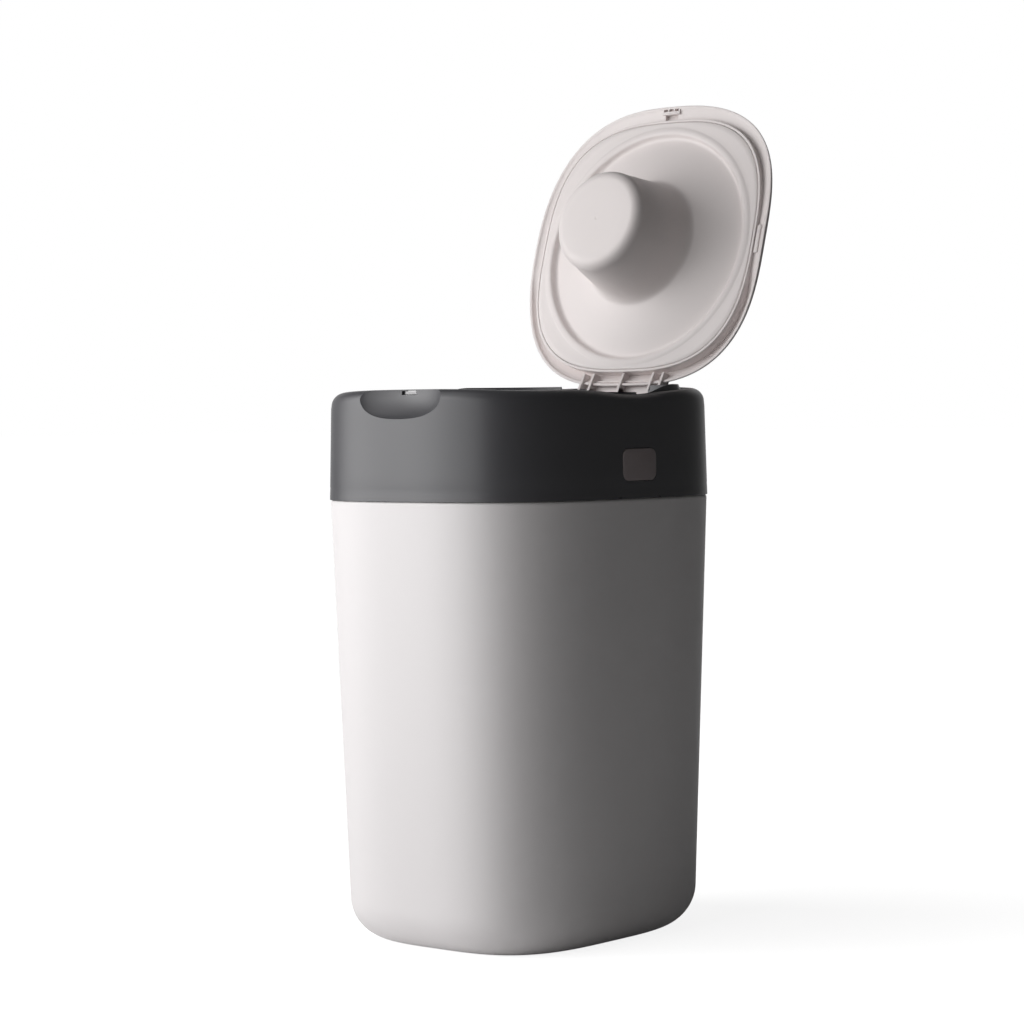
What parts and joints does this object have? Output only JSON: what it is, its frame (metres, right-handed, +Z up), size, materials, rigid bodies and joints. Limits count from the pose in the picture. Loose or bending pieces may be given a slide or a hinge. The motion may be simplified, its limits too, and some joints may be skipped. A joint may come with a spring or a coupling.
{
  "type": "nappy bin",
  "caption": "Tall tapered nappy bin with a tilting head, a twist ring holding a film cassette, and a hinged lid with a plunger, shown open.",
  "frame": {"origin": "centre of the flat base, on the floor", "axes": "+Z up; -Y the front with the finger scoop; +X the side with the release button; +Y the side with the lid's hinge"},
  "size_m": [0.2432, 0.3495, 0.6586],
  "materials": {
    "tub_plastic": "off-white, fine satin",
    "lid_plastic": "warm off-white, fine satin",
    "head_plastic": "charcoal grey, fine grain",
    "button_plastic": "mid grey, fine grain",
    "ring_plastic": "dark grey, smooth",
    "inner_plastic": "light, smooth",
    "cassette_plastic": "pale, glossy",
    "slider_plastic": "orange, smooth",
    "film": "thin, pleated",
    "foot_rubber": "matte",
    "seal_rubber": "matte",
    "bare_steel": "plain"
  },
  "bodies": {
    "bin": {"tub": "tub_plastic", "tub_pads": "foot_rubber", "latch_keeper": "bare_steel", "keeper_screws": "bare_steel", "tilt_hinge_pin": "bare_steel"},
    "head": {"head_casing": "head_plastic", "head_deck": "head_plastic", "deck_skirt": "head_plastic", "hinge_lugs": "head_plastic", "deck_seal": "seal_rubber", "head_base": "head_plastic", "neck_guide": "head_plastic", "deck_posts": "head_plastic", "bar_guides": "head_plastic", "base_screws": "bare_steel", "catch_stop": "head_plastic", "pawl_post": "head_plastic", "cutter_rail": "head_plastic", "rail_screws": "bare_steel", "pawl_pin": "bare_steel", "pawl_spring": "bare_steel", "button_spring": "bare_steel", "catch_spring": "bare_steel"},
    "button": {"release_button": "button_plastic", "latch_bar": "inner_plastic"},
    "catch": {"lid_catch": "inner_plastic"},
    "rotor": {"twist_ring": "ring_plastic", "ring_floor": "ring_plastic", "cassette_body": "cassette_plastic", "cassette_floor": "cassette_plastic", "cassette_core": "cassette_plastic", "cassette_cover": "cassette_plastic", "film_pack": "film"},
    "pawl": {"click_pawl": "inner_plastic"},
    "cutter": {"cutter_slider": "slider_plastic", "cutter_blade": "bare_steel"},
    "lid": {"lid_shell": "lid_plastic", "lid_panel": "lid_plastic", "panel_dish": "lid_plastic", "plunger": "lid_plastic", "lid_hinge_pins": "bare_steel"}
  },
  "joints": [
    {"name": "head_tilt", "type": "hinge", "parent": "bin", "child": "head", "pos_m": [-0.1218, 0, 0.34015], "axis": [0, -1, 0], "range_deg": [0, 85]},
    {"name": "lid_swing", "type": "hinge", "parent": "head", "child": "lid", "pos_m": [0, 0.1262, 0.421], "axis": [1, 0, 0], "range_deg": [0, 107.2]},
    {"name": "ring_twist", "type": "hinge", "parent": "head", "child": "rotor", "pos_m": [0, 0, 0.4], "axis": [0, 0, 1], "continuous": true},
    {"name": "button_push", "type": "slide", "parent": "head", "child": "button", "axis": [-1, 0, 0], "range_m": [0, 0.0035], "stiffness_N_per_m": 900, "springref_m": -0.002, "deforming": ["button_spring"]},
    {"name": "catch_slide", "type": "slide", "parent": "head", "child": "catch", "axis": [0, 1, 0], "range_m": [0, 0.002], "stiffness_N_per_m": 700, "springref_m": -0.0015, "deforming": ["catch_spring"]},
    {"name": "pawl_swing", "type": "hinge", "parent": "head", "child": "pawl", "pos_m": [-0.09244, -0.04311, 0.4], "axis": [0, 0, -1], "range_deg": [0, 10], "stiffness_Nm_per_rad": 0.02, "springref_deg": -5.73, "deforming": ["pawl_spring"]},
    {"name": "cutter_slide", "type": "slide", "parent": "head", "child": "cutter", "axis": [1, 0, 0], "range_m": [-0.028, 0.028]}
  ]
}
